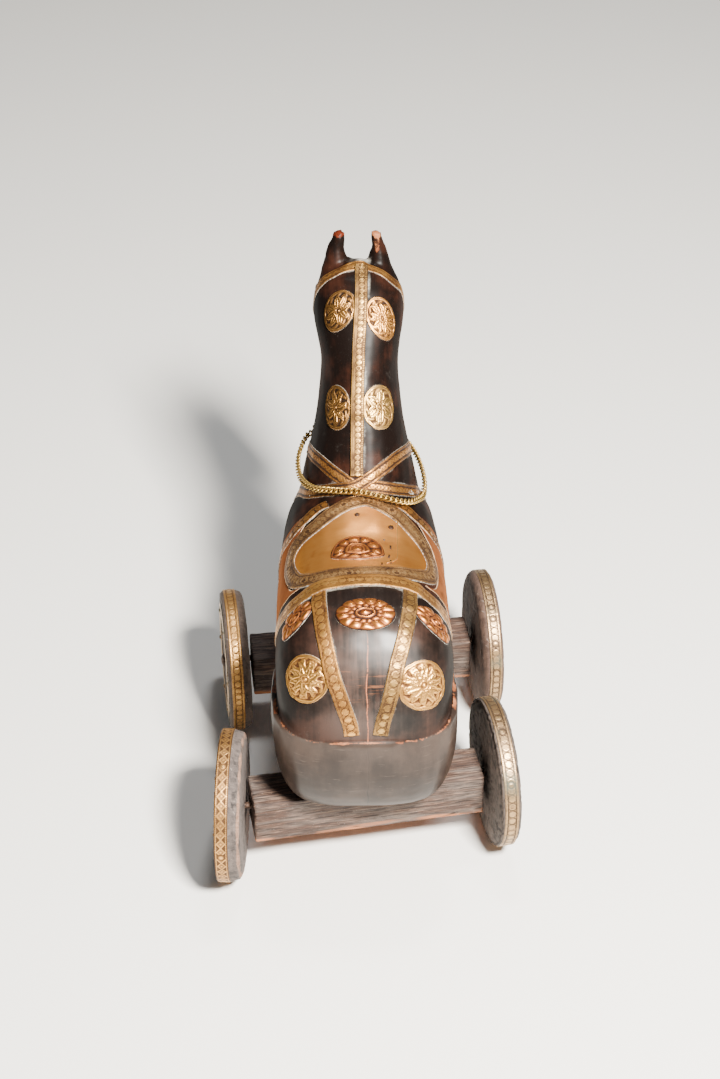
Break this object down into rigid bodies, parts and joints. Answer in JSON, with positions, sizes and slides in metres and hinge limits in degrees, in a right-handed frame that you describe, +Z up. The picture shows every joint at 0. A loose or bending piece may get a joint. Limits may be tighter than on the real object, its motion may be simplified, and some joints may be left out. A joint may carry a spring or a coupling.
{
  "type": "wooden horse on wheels",
  "caption": "Carved wooden toy horse dressed with embossed brass and copper sheet and a neck chain, on axle blocks with turned wooden wheels that roll.",
  "frame": {"origin": "centre of the bounding box at its bottom, on the floor between the wheels", "axes": "+Y along the way the horse looks, +Z up, +X to the horse's right"},
  "size_m": [0.1602, 0.2715, 0.2657],
  "materials": {
    "dark_wood": "satin, polished by handling",
    "block_wood": "rough and weathered",
    "grey_wood": "rough and dusty",
    "brass": "aged, embossed",
    "copper": "copper, rubbed bright",
    "iron": "dull and rusty"
  },
  "bodies": {
    "toy": {"horse": "dark_wood", "saddle_border": "brass", "wing_band_left": "brass", "wing_band_right": "brass", "rump_strap_left": "brass", "rump_strap_right": "brass", "collar_band_left": "brass", "collar_band_right": "brass", "rear_band": "brass", "crest_strip": "brass", "headband": "brass", "neck_medallion_upper_left": "brass", "neck_medallion_upper_right": "brass", "neck_medallion_lower_left": "brass", "neck_medallion_lower_right": "brass", "rump_medallion_left": "brass", "rump_medallion_right": "brass", "saddle_seat": "copper", "saddle_wing_left": "copper", "saddle_wing_right": "copper", "saddle_rosette": "copper", "rump_rosette_left": "copper", "rump_rosette_right": "copper", "rump_rosette_middle": "copper", "neck_chain": "brass", "rear_axle_block": "block_wood", "front_axle_block": "block_wood", "front_left_pin": "iron", "front_right_pin": "iron", "rear_left_pin": "iron", "rear_right_pin": "iron"},
    "front_left": {"front_left_wheel": "grey_wood", "front_left_tyre": "brass", "front_left_ring": "brass"},
    "front_right": {"front_right_wheel": "grey_wood", "front_right_tyre": "brass", "front_right_ring": "brass"},
    "rear_left": {"rear_left_wheel": "grey_wood", "rear_left_tyre": "brass", "rear_left_ring": "brass"},
    "rear_right": {"rear_right_wheel": "grey_wood", "rear_right_tyre": "brass", "rear_right_ring": "brass"}
  },
  "joints": [
    {"name": "front_left_spin", "type": "hinge", "parent": "toy", "child": "front_left", "pos_m": [-0.0706, 0.01986, 0.03966], "axis": [-0.9943, -0.1063, 0], "continuous": true},
    {"name": "front_right_spin", "type": "hinge", "parent": "toy", "child": "front_right", "pos_m": [0.07, 0.03488, 0.03966], "axis": [0.9943, 0.1063, 0], "continuous": true},
    {"name": "rear_left_spin", "type": "hinge", "parent": "toy", "child": "rear_left", "pos_m": [-0.06947, -0.09598, 0.03966], "axis": [-0.9986, 0.0523, 0], "continuous": true},
    {"name": "rear_right_spin", "type": "hinge", "parent": "toy", "child": "rear_right", "pos_m": [0.06888, -0.07332, 0.03966], "axis": [0.9869, 0.1616, 0], "continuous": true}
  ]
}
